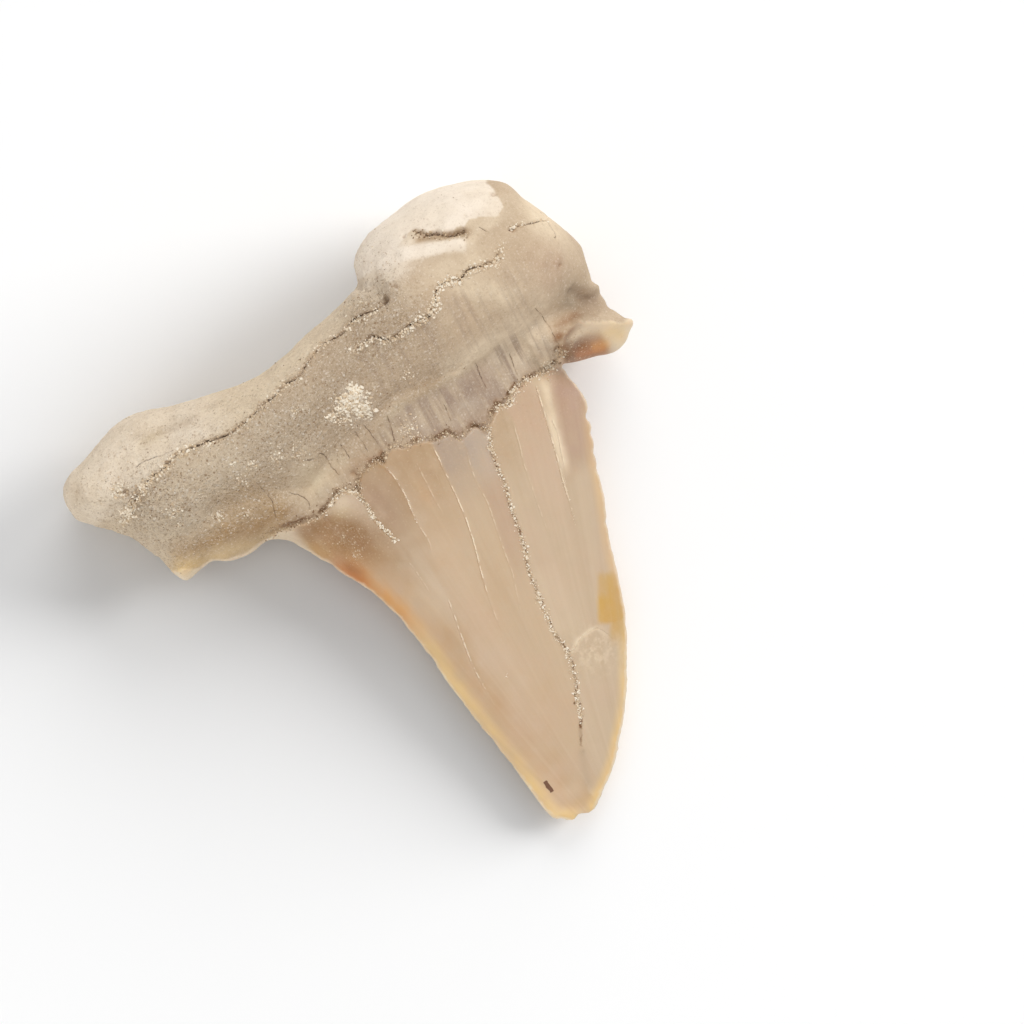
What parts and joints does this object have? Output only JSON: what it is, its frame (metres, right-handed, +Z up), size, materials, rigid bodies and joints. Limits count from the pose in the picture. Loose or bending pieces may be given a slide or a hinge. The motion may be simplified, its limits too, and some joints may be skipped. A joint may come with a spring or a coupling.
{
  "type": "fossil shark tooth",
  "caption": "Fossil shark tooth lying flat: a broad pointed crown on a thick two-lobed root, with a small side cusp by each shoulder.",
  "frame": {"origin": "under the middle of the whole tooth, on the surface it lies on", "axes": "+Y from the crown's tip to the root, +X along the root from the slender lobe to the blunt one, +Z up from the surface it rests on, towards the bulging inner face"},
  "size_m": [0.052, 0.0558, 0.0155],
  "materials": {
    "fossil": "grey-beige porous root with sand in its cracks, and a smooth warm beige crown with a soft gloss and honey-coloured cutting edges"
  },
  "bodies": {
    "root": {"tooth": "fossil"}
  },
  "joints": []
}
